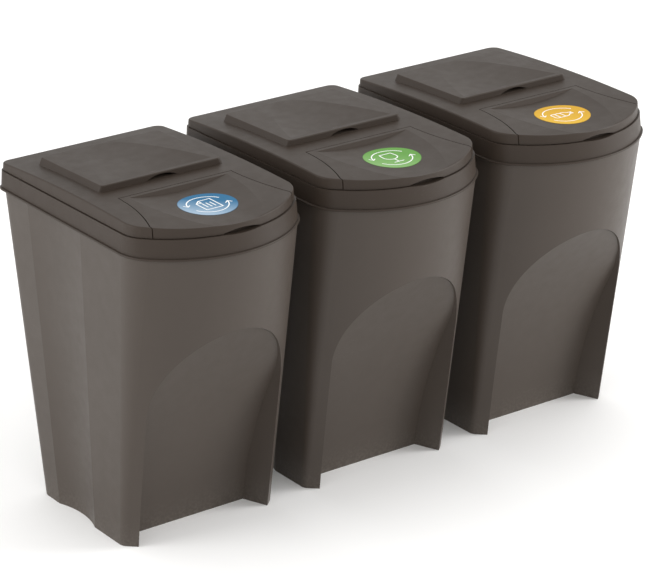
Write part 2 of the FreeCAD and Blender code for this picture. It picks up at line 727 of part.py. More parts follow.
def make_bucket():
    """Tapered tub with fluted sides, an arched recess in its front and a neck."""
    edge = cell("mouth_height")
    shelf = cell("shelf_level")
    tub = loft("tub", lift(plan_sketch("tub_base", "base"), "0 * " + edge),
               lift(plan_sketch("tub_top", "shelf"), shelf))
    room = loft("tub_room",
                lift(plan_sketch("room_base", "base", inset=("wall",)), cell("floor_thickness")),
                lift(plan_sketch("room_top", "shelf", inset=("wall",)),
                     shelf + " - " + cell("wall")))
    neck = loft("neck", lift(plan_sketch("neck_low", "mouth"), shelf + " - " + cell("wall")),
                tilt(plan_sketch("neck_top", "mouth"), edge))
    throat = loft("throat",
                  lift(plan_sketch("throat_low", "mouth", inset=("wall",)),
                       shelf + " - 2 * " + cell("wall")),
                  tilt(plan_sketch("throat_top", "mouth", inset=("wall",)),
                       edge + " + " + cell("wall")))
    outside = fuse("bucket_outside", cut("tub_outside", tub, *flute("flute"), recess("recess")),
                   neck)
    inside = fuse("bucket_inside", cut("tub_inside", room, *flute("inner_flute", ("wall",)),
                                       recess("inner_recess", ("wall",))), throat)
    return cut("bucket", outside, inside), outside


# ---------------------------------------------------------------- rim collar


def make_rim():
    """Collar that sits over the bucket's edge, with a bead along its lower edge."""
    mouth = cell("mouth_height")
    top = mouth + " + " + cell("flange")
    low = cell("bead_low")
    band = loft("rim_band", lift(plan_sketch("band_low", "rim_low"), low),
                tilt(plan_sketch("band_top", "rim_top"), top))
    up = vector(0, 0, 1)
    strip = extrusion("bead_strip", lift(plan_sketch("bead_plan", "bead"), low), up,
                      cell("bead_height"))
    bead = rounded("rim_bead", strip, "bead_edge_radius", is_level)
    below = "%s - %s / 2" % (low, cell("reach"))
    socket = loft("rim_socket",
                  lift(plan_sketch("socket_low", "mouth", outset=("rim_clearance",)), below),
                  tilt(plan_sketch("socket_top", "mouth", outset=("rim_clearance",)), mouth))
    opening = extrusion("rim_opening",
                        lift(plan_sketch("opening_plan", "mouth", inset=("opening_inset",)), below),
                        up, "%s - %s + %s" % (mouth, low, cell("reach")))
    ears = [make_ear(side) for side in (-1, 1)]
    bores = [lid_bore("ear_bore_%s" % tag, sign, "running_clearance")
             for tag, sign in (("left", -1), ("right", 1))]
    front = "%s - %s + 4 * %s" % (cell("rim_top_back"), cell("rim_top_depth"), cell("flange"))
    dip = along_y(cylinder("rim_dip", cell("dip_radius"), cell("reach")))
    place(dip, y=front, z="%s + %s" % (cell("dip_level"), cell("dip_radius")))
    shell = cut("rim_shell", fuse("rim_solid", band, bead), socket, opening, dip)
    return cut("rim", fuse("rim_with_ears", shell, *ears), *bores)


def make_ear(side):
    """Upright ear on the collar's rear edge that holds one lid pin."""
    name = "ear_left" if side < 0 else "ear_right"
    middle = "%d * %s" % (side, cell("knuckle_place"))
    axis_y = cell("lid_axis_back")
    axis_z = cell("lid_axis_height")
    radius = cell("knuckle_radius")
    width = cell("ear_width")
    root = "(%s + %s / 2 - %s * tan(%s * 1deg))" % (cell("mouth_height"), cell("flange"), axis_y,
                                                   cell("rim_tilt"))
    post = box(name + "_post", width, "2 * " + radius, "%s - %s" % (axis_z, root))
    place(post, x="%s - %s / 2" % (middle, width), y="%s - %s" % (axis_y, radius), z=root)
    barrel = along_x(cylinder(name + "_barrel", radius, width))
    place(barrel, x="%s - %s / 2" % (middle, width), y=axis_y, z=axis_z)
    return fuse(name, post, barrel)


def lid_bore(name, side, clearance=None):
    """Bore or pin along one of the lid's two hinge axes."""
    radius = cell("lid_pin_radius")
    if clearance:
        radius += " + " + cell(clearance)
    length = cell("lid_pin_length")
    bore = along_x(cylinder(name, radius, length))
    return place(bore, x="%d * %s - %s / 2" % (side, cell("knuckle_place"), length),
                 y=cell("lid_axis_back"), z=cell("lid_axis_height"))


# ---------------------------------------------------------------- lid panel


def dome(name, inset=None):
    """The crowned surface of the panel, as a wide lying cylinder."""
    radius = cell("dome_radius")
    if inset:
        radius += " - " + cell(inset)
    width = "4 * " + cell("lid_low_half_width")
    solid = along_x(cylinder(name, radius, width))
    return place(solid, x="-(%s) / 2" % width, y="-" + cell("dome_forward"),
                 z="%s - %s" % (cell("dome_top"), cell("dome_radius")))


def lid_envelope(name, inset=()):
    """Skirted panel under its crown, solid right through."""
    low = "%s + %s + %s" % (cell("mouth_height"), cell("flange"), cell("lid_gap"))
    if inset:
        low += " - 3 * " + cell("wall")
    block = loft(name + "_block", tilt(plan_sketch(name + "_low", "lid_low", inset), low),
                 lift(plan_sketch(name + "_high", "lid_high", inset), cell("lid_high_level")))
    crowned = common(name + "_crowned", block, dome(name + "_dome", inset[0] if inset else None))
    if inset:
        return crowned
    return rounded(name, crowned, "lid_edge_radius", is_top_edge)


def block_wedge(name, inset=None):
    """Raised block on the panel: sides that spread to its foot, top a little lower
    at its back."""
    less = " - " + cell(inset) if inset else ""
    half = cell("block_half_width") + less
    foot = "%s + %s" % (half, cell("block_spread"))
    front = cell("block_front") + less
    back = cell("block_back") + less
    slope = "((%s - %s) / (%s + %s))" % (cell("block_front_top"), cell("block_back_top"),
                                         cell("block_front"), cell("block_back"))
    wedge = doc.addObject("Part::Wedge", name)
    bind(wedge, "Xmin", "-(%s)" % foot)
    bind(wedge, "Xmax", foot)
    bind(wedge, "X2min", "-(%s)" % half)
    bind(wedge, "X2max", half)
    bind(wedge, "Ymin", "%s - %s" % (cell("block_root"), cell("block_front_top")))
    bind(wedge, "Ymax", "0 * %s%s" % (cell("wall"), less))
    for low, high in (("Zmin", "Zmax"), ("Z2min", "Z2max")):
        bind(wedge, low, "-(%s)" % back)
        bind(wedge, high, front)
    along_y(wedge)
    bind(wedge, "Placement.Rotation.Angle", "90 - atan(%s) / 1deg" % slope)
    return place(wedge, z="%s - %s * %s" % (cell("block_front_top"), cell("block_front"), slope))


def sloped_cylinder(name, radius, centre_rise, rear, front, start, length):
    """Lying cylinder whose axis runs at a height over two points of the middle plane.

    rear and front are pairs of expressions: distance in front of the origin, height.
    """
    run = "((%s) - (%s))" % (front[0], rear[0])
    rise = "((%s) - (%s))" % (front[1], rear[1])
    solid = along_y(cylinder(name, radius, length))
    bind(solid, "Placement.Rotation.Angle", "90 - atan(%s / %s) / 1deg" % (rise, run))
    place(solid, y="-(%s)" % start,
          z="(%s) + ((%s) - (%s)) * %s / %s + %s"
          % (rear[1], start, rear[0], rise, run, centre_rise))
    return solid


def scoop(name, thick=False):
    """Shallow scoop in the block's top, deepest at the block's front."""
    radius = cell("scoop_radius") + (" + " + cell("wall") if thick else "")
    rear = ("-" + cell("block_back"), cell("scoop_back_level"))
    front = (cell("block_front"), cell("scoop_front_level"))
    length = "%s + %s + %s" % (cell("block_back"), cell("block_front"), cell("reach"))
    return sloped_cylinder(name, radius, cell("scoop_radius"), rear, front,
                           "-(%s) - %s + %s" % (cell("block_back"), cell("reach"), cell("wall")),
                           length)


def flap_prism(name, inset=(), outset=()):
    low = "%s - %s / 2" % (cell("mouth_height"), cell("reach"))
    return extrusion(name, lift(flap_sketch(name + "_plan", inset, outset), low),
                     vector(0, 0, 1), "2 * " + cell("reach"))


def flap_axis(obj, x):
    """Put a lying cylinder on the flap's hinge axis."""
    along_x(obj)
    return place(obj, x=x, y="-(%s + %s + %s)" % (cell("flap_hinge_line"), cell("flap_gap"),
                                                 cell("flap_barrel_radius")),
                 z="%s - %s" % (cell("dome_top"), cell("flap_barrel_radius")))


def flap_pin(name, side, clearance=None):
    """Pin, or its bore, at one end of the flap's hinge axis."""
    radius = cell("flap_pin_radius") + (" + " + cell(clearance) if clearance else "")
    length = cell("flap_pin_length")
    pin = cylinder(name, radius, length)
    middle = "%d * %s" % (side, cell("flap_hinge_half_width"))
    return flap_axis(pin, "%s - %s / 2" % (middle, length))


def make_lid():
    """Crowned lid panel with its raised block, flap opening and hinge parts."""
    outer = lid_envelope("lid_outer")
    inner = lid_envelope("lid_inner", ("wall",))
    wedge = block_wedge("block")
    hollow = fuse("lid_hollow", inner, block_wedge("block_inner", "wall"))
    frame = flap_prism("flap_frame", outset=("wall",))
    space = cut("lid_space", hollow, scoop("scoop_thick", True), frame)
    scooped = cut("lid_scooped", fuse("lid_block", outer, rounded_block(wedge)), scoop("scoop"),
                  space, flap_prism("flap_opening"))
    solid = cut("lid_solid", fuse("lid_lipped", scooped, lip("lip")), lip("pocket", True))
    parts = [knuckle(side, part) for side in (-1, 1) for part in (-1, 1)]
    bosses = [flap_boss(side) for side in (-1, 1)]
    whole = fuse("lid_whole", solid, *parts, *bosses)
    trims = [ear_window(side) for side in (-1, 1)] + [rear_trim()]
    trims += [flap_pin("lid_flap_bore_%s" % tag, side, "running_clearance")
              for tag, side in (("left", -1), ("right", 1))]
    trims += [lid_bore("lid_bore_%s" % tag, side) for tag, side in (("left", -1), ("right", 1))]
    return cut("lid", whole, *trims), outer, inner


def rounded_block(wedge):
    """Round the block's upright corners, then the edge of its top."""
    corners = rounded("block_corners", wedge, "block_corner_radius", is_upright)
    return rounded("block_rounded", corners, "block_edge_radius", is_block_top)


def lip(name, hollow=False):
    """Arched lip at the middle of the block's front edge, or the pocket under it."""
    wall = " - " + cell("lip_wall") if hollow else ""
    radius = cell("lip_radius")
    rear = (cell("lip_rear"), cell("lip_rear_level"))
    front = (cell("block_front"), cell("lip_front_level"))
    start = "%s - %s" % (cell("lip_rear"), cell("reach"))
    hood = sloped_cylinder(name + "_hood", radius + wall, "-" + radius, rear, front, start,
                           "3 * " + cell("reach"))
    depth = cell("pocket_depth") if hollow else cell("lip_run")
    low = cell("pocket_level") if hollow else cell("scoop_front_level") + " - " + cell("wall")
    room = box(name + "_room", "2 * " + radius, depth, cell("reach"))
    place(room, x="-" + radius, y="-(%s)" % cell("block_front"), z=low)
    if hollow:
        bind(room, "Width", "%s + %s" % (depth, cell("wall")))
        place(room, y="-(%s + %s)" % (cell("block_front"), cell("wall")))
    return common(name, hood, room)


def knuckle(side, part):
    """One knuckle under the lid's back edge, beside a collar ear."""
    name = "knuckle_%s_%s" % ("left" if side < 0 else "right", "outer" if part == side else "inner")
    barrel = along_x(cylinder(name, cell("knuckle_radius"), cell("knuckle_width")))
    reach = "(%s / 2 + %s + %s / 2)" % (cell("ear_width"), cell("ear_play"), cell("knuckle_width"))
    return place(barrel, x="%d * %s + %d * %s - %s / 2"
                 % (side, cell("knuckle_place"), part, reach, cell("knuckle_width")),
                 y=cell("lid_axis_back"), z=cell("lid_axis_height"))


def ear_window(side):
    """Gap in the lid's back edge in which a collar ear stands."""
    name = "ear_window_%s" % ("left" if side < 0 else "right")
    width = "(%s + 2 * %s)" % (cell("ear_width"), cell("ear_play"))
    depth = "(%s + 3 * %s)" % (cell("knuckle_radius"), cell("wall"))
    gap = box(name, width, "2 * " + depth, cell("reach"))
    return place(gap, x="%d * %s - %s / 2" % (side, cell("knuckle_place"), width),
                 y="%s - %s" % (cell("lid_axis_back"), depth),
                 z="%s + %s + %s - %s" % (cell("lid_axis_height"), cell("knuckle_radius"),
                                          cell("ear_play"), cell("reach")))


def rear_trim():
    """Shortens the back skirt, which dips as the lid turns open."""
    trim = box("rear_trimmer", "4 * " + cell("lid_low_half_width"), cell("reach"), cell("reach"))
    return place(trim, x="-2 * " + cell("lid_low_half_width"),
                 y="%s - %s" % (cell("lid_axis_back"), cell("rear_trim_reach")),
                 z="%s - %s - %s" % (cell("lid_axis_height"), cell("rear_trim"), cell("reach")))


def flap_boss(side):
    """Boss beside the opening that takes one flap pin."""
    name = "boss_%s" % ("left" if side < 0 else "right")
    boss = cylinder(name, cell("flap_barrel_radius"), cell("flap_boss_width"))
    start = cell("flap_hinge_half_width")
    x = start if side > 0 else "-(%s + %s)" % (start, cell("flap_boss_width"))
    return flap_axis(boss, x)


# ---------------------------------------------------------------- flap and sticker


def dish(name, thick=False):
    """Shallow dish in the flap, deepest along its steep back wall."""
    radius = cell("dish_radius") + (" + " + cell("wall") if thick else "")
    rear = (cell("dish_back_line"), cell("dish_back_level"))
    front = (cell("dish_front_line"), cell("dish_front_level"))
    return sloped_cylinder(name, radius, cell("dish_radius"), rear, front,
                           "%s - %s / 2" % (cell("dish_back_line"), cell("reach")),
                           "%s + %s" % (cell("flap_end_line"), cell("reach")))


def dish_limits(name, extra=()):
    """Side view of the dish's reach: a sloped back wall, then open to the front."""
    top = Sum("dish_rim_setback", plus=extra)
    foot = Sum("dish_rim_setback", plus=extra, minus=("dish_wall_run",))
    low = Sum("dish_back_level", minus=tuple(extra) + ("wall",))
    high = Sum("dome_top", plus=("wall",))
    outer = Sum("flap_end_run")
    sketch = doc.addObject("Sketcher::SketchObject", name + "_side")
    wall = add_line(sketch, (-top.value, high.value), (-foot.value, low.value))
    base = add_line(sketch, (-foot.value, low.value), (outer.value, low.value))
    front = add_line(sketch, (outer.value, low.value), (outer.value, high.value))
    lid = add_line(sketch, (outer.value, high.value), (-top.value, high.value))
    for first, second in ((wall, base), (base, front), (front, lid), (lid, wall)):
        rule(sketch, "Coincident", first, 2, second, 1)
    rule(sketch, "Horizontal", base)
    rule(sketch, "Vertical", front)
    rule(sketch, "Horizontal", lid)
    dimension(sketch, "DistanceX", wall, 1, -1, 1, top)
    dimension(sketch, "DistanceX", wall, 2, -1, 1, foot)
    dimension(sketch, "DistanceY", -1, 1, wall, 2, low)
    dimension(sketch, "DistanceY", -1, 1, wall, 1, high)
    dimension(sketch, "DistanceX", -1, 1, front, 1, outer)
    sketch.Placement = FreeCAD.Placement(vector(0, 0, 0), SIDE_VIEW)
    bind(sketch, "Placement.Base.y", "-" + cell("mouth_front"))
    return extrusion(name, sketch, vector(1, 0, 0), "4 * " + cell("flap_corner_half_width"), True)


def make_flap(outer, inner):
    """Bowed front flap with a dish for the sticker and a finger slot in its skirt."""
    body = common("flap_body", flap_prism("flap_outer", inset=("flap_gap",)), outer)
    rim = flap_prism("flap_inner", inset=("flap_gap", "wall"))
    hollow = common("flap_hollow", rim, inner)
    under = box("flap_underside", "4 * " + cell("flap_corner_half_width"),
                cell("flap_length"), cell("reach"))
    place(under, x="-2 * " + cell("flap_corner_half_width"), y="-" + cell("flap_skirt_line"),
          z="%s - %s" % (cell("flap_under"), cell("reach")))
    barrel = flap_axis(cylinder("flap_barrel", cell("flap_barrel_radius"),
                                "2 * (%s - %s)" % (cell("flap_hinge_half_width"), cell("flap_gap"))),
                       "-(%s - %s)" % (cell("flap_hinge_half_width"), cell("flap_gap")))
    thick = common("dish_thick", dish("dish_thick_floor", True),
                   dish_limits("dish_thick_reach", ("wall",)))
    tool = common("dish_tool", dish("dish_floor"), dish_limits("dish_reach"))
    space = cut("flap_space", fuse("flap_spaces", hollow, under), thick, barrel)
    bores = [flap_pin("flap_bore_%s" % tag, side) for tag, side in (("left", -1), ("right", 1))]
    return cut("flap", body, tool, space, finger_slot(), *bores)


def finger_slot():
    """Low arch cut into the lower edge of the flap's front skirt."""
    slot = along_y(cylinder("finger_slot", cell("slot_radius"), cell("reach")))
    return place(slot, y="-%s - %s / 2" % (cell("flap_skirt_line"), cell("reach")),
                 z="%s - %s" % (cell("slot_top"), cell("slot_radius")))


def make_sticker():
    """Round sticker that lies on the floor of the dish."""
    face = dish("sticker_face")
    bind(face, "Radius", cell("dish_radius") + " - " + cell("sticker_seat"))
    top = dish("sticker_top")
    bind(top, "Radius", "%s - %s - %s" % (cell("dish_radius"), cell("sticker_seat"),
                                         cell("sticker_thickness")))
    disc = cylinder("sticker_disc", cell("sticker_radius"), cell("reach"))
    place(disc, y="-" + cell("sticker_centre"),
          z="%s - %s / 2" % (cell("dish_back_level"), cell("reach")))
    return common("sticker", cut("sticker_shell", face, top), disc)


# ---------------------------------------------------------------- clips


def make_clip(name, gap, place_alias, outer):
    """Clip between two neighbouring buckets, shaped to the walls that it holds."""
    width = cell("pitch")
    middle = "%s * %s" % (gap, width)
    block = box(name + "_block", width, cell("clip_length"), cell("clip_height"))
    place(block, x="%s - (%s) / 2" % (middle, width),
          y="%s - %s / 2" % (cell(place_alias), cell("clip_length")), z=cell("clip_low"))
    walls = []
    for tag, step in (("left", gap - 0.5), ("right", gap + 0.5)):
        wall = copy_of("%s_%s_wall" % (name, tag), outer, step)
        walls.append(wall)
    channel = box(name + "_channel", width, "%s - 2 * %s" % (cell("clip_length"), cell("clip_web")),
                  cell("clip_height"))
    place(channel, x="%s - (%s) / 2" % (middle, width),
          y="%s - %s / 2 + %s" % (cell(place_alias), cell("clip_length"), cell("clip_web")),
          z="%s - %s" % (cell("clip_low"), cell("clip_web")))
    return cut(name, block, channel, *walls)


# ---------------------------------------------------------------- assembly


def copy_of(name, master, step):
    """A sub-part moved along the row by a number of pitches."""
    copy = doc.addObject("Part::Compound", name)
    copy.Links = [master]
    bind(copy, "Placement.Base.x", "%s * %s" % (step, cell("pitch")))
    return copy


def build():
    """Make every sub-part once, then repeat it along the row."""
    fill_sheet()
    bucket, bucket_outer = make_bucket()
    lid, lid_outer, lid_inner = make_lid()
    masters = {
        "bucket": bucket,
        "rim": make_rim(),
        "lid": lid,
        "flap": make_flap(lid_outer, lid_inner),
        "sticker": make_sticker(),
        "lid_pin_left": lid_bore("pin_for_lid_left", -1),
        "lid_pin_right": lid_bore("pin_for_lid_right", 1),
        "flap_pin_left": flap_pin("pin_for_flap_left", -1),
        "flap_pin_right": flap_pin("pin_for_flap_right", 1),
    }
    nodes = {}
    for number, step in enumerate(BIN_OFFSETS, start=1):
        for part, master in masters.items():
            name = "%s_%d" % (part, number)
            nodes[name] = copy_of("node_" + name, master, step)
    for number, gap in enumerate((-0.5, 0.5), start=1):
        for tag in ("front", "rear"):
            name = "clip_%s_%d" % (tag, number)
            nodes[name] = make_clip("node_" + name, gap, "clip_" + tag, bucket_outer)
    for name, node in nodes.items():
        node.Label = name
    doc.recompute()
    return nodes


def check(nodes):
    """Stop if any object failed or any sub-part is not a sound solid."""
    for obj in doc.Objects:
        if "Invalid" in obj.State or "Error" in obj.State:
            raise RuntimeError("%s failed: %s" % (obj.Name, obj.State))
    for name, node in nodes.items():
        if node.Shape.isNull() or not node.Shape.isValid():
            raise RuntimeError("%s has no valid shape" % name)
        if len(node.Shape.Solids) != 1:
            raise RuntimeError("%s is %d solids" % (name, len(node.Shape.Solids)))


def write(nodes):
    os.makedirs("parts", exist_ok=True)
    for name, node in nodes.items():
        node.Shape.exportStep("parts/%s.step" % name)
        bounds = node.Shape.BoundBox
        print("%-18s %8.1f cm3  z %.1f..%.1f" % (name, node.Shape.Volume / 1000,
                                               bounds.ZMin, bounds.ZMax))


made = build()
check(made)
write(made)
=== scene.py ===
import logging
import math
from dataclasses import dataclass, field
from enum import Enum
from typing import Callable, Iterable, Sequence

import bmesh
import bpy
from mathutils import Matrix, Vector
from mathutils.bvhtree import BVHTree


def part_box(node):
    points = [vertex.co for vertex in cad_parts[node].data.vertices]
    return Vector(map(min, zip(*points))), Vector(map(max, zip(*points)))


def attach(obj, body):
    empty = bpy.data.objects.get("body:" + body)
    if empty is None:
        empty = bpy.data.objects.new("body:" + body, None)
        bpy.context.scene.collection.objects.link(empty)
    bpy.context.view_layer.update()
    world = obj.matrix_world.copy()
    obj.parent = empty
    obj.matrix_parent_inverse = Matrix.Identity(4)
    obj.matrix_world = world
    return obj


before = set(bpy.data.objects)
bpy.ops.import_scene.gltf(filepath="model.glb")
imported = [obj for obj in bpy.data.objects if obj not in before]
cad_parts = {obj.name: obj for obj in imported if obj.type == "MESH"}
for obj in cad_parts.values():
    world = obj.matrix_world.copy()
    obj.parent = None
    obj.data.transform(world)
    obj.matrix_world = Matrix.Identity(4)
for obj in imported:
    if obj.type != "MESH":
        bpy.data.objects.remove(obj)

LOG = logging.getLogger("bin_station")
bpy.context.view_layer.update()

Colour = tuple[float, float, float]
Point = tuple[float, float]
Place = tuple[float, float, float]
Stroke = list[Point]


class Kind(Enum):
    """What each bin of the row collects."""

    PAPER = 1
    GLASS = 2
    BOTTLES = 3


class Tree:
    """A node tree with short calls to add, set and link nodes."""

    def __init__(self, tree: bpy.types.NodeTree) -> None:
        """Keep the tree.

        Args:
            tree: the tree that the nodes go in.
        """
        self.tree = tree

    def add(self, kind: str, **settings: object) -> bpy.types.Node:
        """Add one node.

        Args:
            kind: the node's type name.
            settings: properties to set on it.

        Returns:
            The new node.
        """
        node = self.tree.nodes.new(kind)
        for name, value in settings.items():
            setattr(node, name, value)
        return node

    def feed(self, source: bpy.types.NodeSocket, target: bpy.types.NodeSocket) -> None:
        """Link an output to an input.

        Args:
            source: the output.
            target: the input.
        """
        self.tree.links.new(source, target)

    def math(self, operation: str, first: object, second: object = 0.0) -> bpy.types.NodeSocket:
        """Add a Math node.

        Args:
            operation: the operation's name.
            first: a number or an output.
            second: a number or an output.

        Returns:
            The node's output.
        """
        node = self.add("ShaderNodeMath", operation=operation)
        for socket, value in zip(node.inputs, (first, second)):
            if isinstance(value, bpy.types.NodeSocket):
                self.feed(value, socket)
            else:
                socket.default_value = float(value)
        return node.outputs[0]

    def spread(self, value: bpy.types.NodeSocket, low: float, high: float,
               to_low: float, to_high: float) -> bpy.types.NodeSocket:
        """Map a range of values onto another and clamp it.

        Args:
            value: the value to map.
            low: start of the range that it has.
            high: end of that range.
            to_low: what the start becomes.
            to_high: what the end becomes.

        Returns:
            The mapped value.
        """
        node = self.add("ShaderNodeMapRange")
        self.feed(value, node.inputs["Value"])
        for name, number in (("From Min", low), ("From Max", high),
                             ("To Min", to_low), ("To Max", to_high)):
            node.inputs[name].default_value = number
        return node.outputs["Result"]

    def mix(self, factor: bpy.types.NodeSocket, first: object,
            second: object) -> bpy.types.NodeSocket:
        """Mix two colours.

        Args:
            factor: how much of the second colour shows.
            first: a colour or an output.
            second: a colour or an output.

        Returns:
            The mixed colour.
        """
        node = self.add("ShaderNodeMix", data_type="RGBA")
        self.feed(factor, node.inputs["Factor"])
        for socket, value in ((node.inputs[6], first), (node.inputs[7], second)):
            if isinstance(value, bpy.types.NodeSocket):
                self.feed(value, socket)
            else:
                socket.default_value = (*value, 1.0)
        return node.outputs[2]

    def noise(self, scale: float, detail: float = 2.0, vector: object = None,
              roughness: float = 0.5) -> bpy.types.NodeSocket:
        """Add noise over the object's own coordinates.

        Args:
            scale: how many cells fit in a metre.
            detail: octaves.
            vector: an output to use in place of the object's coordinates.
            roughness: share of the finer octaves.

        Returns:
            The noise, from 0 to 1.
        """
        node = self.add("ShaderNodeTexNoise")
        node.inputs["Scale"].default_value = scale
        node.inputs["Detail"].default_value = detail
        node.inputs["Roughness"].default_value = roughness
        self.feed(vector if vector is not None else self.place(), node.inputs["Vector"])
        return node.outputs["Fac"]

    def place(self) -> bpy.types.NodeSocket:
        """Return the place on the object, in metres."""
        return self.add("ShaderNodeTexCoord").outputs["Object"]


class Effects:
    """The surface effects that several finishes share, each one a node group."""

    def __init__(self) -> None:
        """Build the groups."""
        self.grain = self._grain()
        self.tone = self._tone()
        self.rub = self._rub()
        self.dust = self._dust()

    @staticmethod
    def _group(name: str, inputs: Sequence[tuple[str, str, object]],
               outputs: Sequence[tuple[str, str]]) -> tuple[Tree, object, object]:
        """Start a group with its sockets.

        Args:
            name: the group's name.
            inputs: name, socket type and default of each input.
            outputs: name and socket type of each output.

        Returns:
            The tree, its input node and its output node.
        """
        group = bpy.data.node_groups.new(name, "ShaderNodeTree")
        for title, kind, default in inputs:
            socket = group.interface.new_socket(title, in_out="INPUT", socket_type=kind)
            socket.default_value = default
        for title, kind in outputs:
            group.interface.new_socket(title, in_out="OUTPUT", socket_type=kind)
        tree = Tree(group)
        return tree, tree.add("NodeGroupInput"), tree.add("NodeGroupOutput")

    def _grain(self) -> bpy.types.NodeTree:
        """Fine spark-eroded grain of a moulded skin.

        Returns:
            A group with a Height output and a Pits mask.
        """
        tree, given, result = self._group(
            "moulded_grain",
            [("Scale", "NodeSocketFloat", 900.0), ("Waviness", "NodeSocketFloat", 0.3)],
            [("Height", "NodeSocketFloat"), ("Pits", "NodeSocketFloat")])
        fine = tree.add("ShaderNodeTexNoise")
        fine.inputs["Detail"].default_value = 3.0
        fine.inputs["Roughness"].default_value = 0.65
        tree.feed(tree.place(), fine.inputs["Vector"])
        tree.feed(given.outputs["Scale"], fine.inputs["Scale"])
        cells = tree.add("ShaderNodeTexVoronoi", feature="SMOOTH_F1")
        tree.feed(tree.place(), cells.inputs["Vector"])
        tree.feed(given.outputs["Scale"], cells.inputs["Scale"])
        wave = tree.math("MULTIPLY", tree.noise(14.0, 1.0), given.outputs["Waviness"])
        skin = tree.math("ADD", fine.outputs["Fac"],
                         tree.math("MULTIPLY", cells.outputs["Distance"], 0.45))
        tree.feed(tree.math("ADD", skin, wave), result.inputs["Height"])
        tree.feed(tree.spread(fine.outputs["Fac"], 0.3, 0.48, 1.0, 0.0), result.inputs["Pits"])
        return tree.tree

    def _tone(self) -> bpy.types.NodeTree:
        """Slow drift of the plastic's colour, with faint flow lines.

        Returns:
            A group that takes a colour and puts out a colour.
        """
        tree, given, result = self._group(
            "colour_drift",
            [("Base", "NodeSocketColor", (0.1, 0.1, 0.1, 1.0)),
             ("Warm", "NodeSocketColor", (0.1, 0.1, 0.1, 1.0)),
             ("Amount", "NodeSocketFloat", 0.5)],
            [("Colour", "NodeSocketColor")])
        broad = tree.noise(5.0, 2.0)
        stretch = tree.add("ShaderNodeMapping")
        stretch.inputs["Scale"].default_value = (24.0, 24.0, 2.2)
        tree.feed(tree.place(), stretch.inputs["Vector"])
        flow = tree.noise(1.0, 3.0, stretch.outputs["Vector"])
        both = tree.math("ADD", tree.math("MULTIPLY", broad, 0.6), tree.math("MULTIPLY", flow, 0.4))
        factor = tree.math("MULTIPLY", tree.spread(both, 0.35, 0.65, 0.0, 1.0),
                           given.outputs["Amount"])
        tree.feed(tree.mix(factor, given.outputs["Base"], given.outputs["Warm"]),
                  result.inputs["Colour"])
        return tree.tree

    def _rub(self) -> bpy.types.NodeTree:
        """Short hair scratches and broad polished patches from handling.

        Returns:
            A group with Scratches and Polish masks.
        """
        tree, given, result = self._group(
            "handling_rub", [("Amount", "NodeSocketFloat", 0.5)],
            [("Scratches", "NodeSocketFloat"), ("Polish", "NodeSocketFloat")])
        hairs = None
        for turn, scale in ((0.5, (30.0, 900.0, 500.0)), (2.1, (700.0, 40.0, 620.0))):
            mapping = tree.add("ShaderNodeMapping")
            mapping.inputs["Rotation"].default_value = (0.3 * turn, 0.2, turn)
            mapping.inputs["Scale"].default_value = scale
            tree.feed(tree.place(), mapping.inputs["Vector"])
            hair = tree.noise(1.0, 1.0, mapping.outputs["Vector"])
            layer = tree.spread(hair, 0.70, 0.78, 0.0, 1.0)
            hairs = layer if hairs is None else tree.math("MAXIMUM", hairs, layer)
        patches = tree.spread(tree.noise(9.0, 2.0), 0.48, 0.66, 0.0, 1.0)
        marks = tree.math("MULTIPLY", hairs, patches)
        tree.feed(tree.math("MULTIPLY", marks, given.outputs["Amount"]), result.inputs["Scratches"])
        tree.feed(tree.math("MULTIPLY", patches, given.outputs["Amount"]), result.inputs["Polish"])
        return tree.tree

    def _dust(self) -> bpy.types.NodeTree:
        """Pale dust that gathers near the floor.

        Returns:
            A group with a Mask output.
        """
        tree, given, result = self._group(
            "floor_dust",
            [("Reach", "NodeSocketFloat", 0.05), ("Amount", "NodeSocketFloat", 0.2)],
            [("Mask", "NodeSocketFloat")])
        split = tree.add("ShaderNodeSeparateXYZ")
        tree.feed(tree.place(), split.inputs["Vector"])
        share = tree.math("DIVIDE", split.outputs["Z"], given.outputs["Reach"])
        fade = tree.math("POWER", tree.spread(share, 0.0, 1.0, 1.0, 0.0), 2.0)
        specks = tree.spread(tree.noise(260.0, 3.0), 0.4, 0.7, 0.2, 1.0)
        mask = tree.math("MULTIPLY", tree.math("MULTIPLY", fade, specks), given.outputs["Amount"])
        tree.feed(mask, result.inputs["Mask"])
        return tree.tree


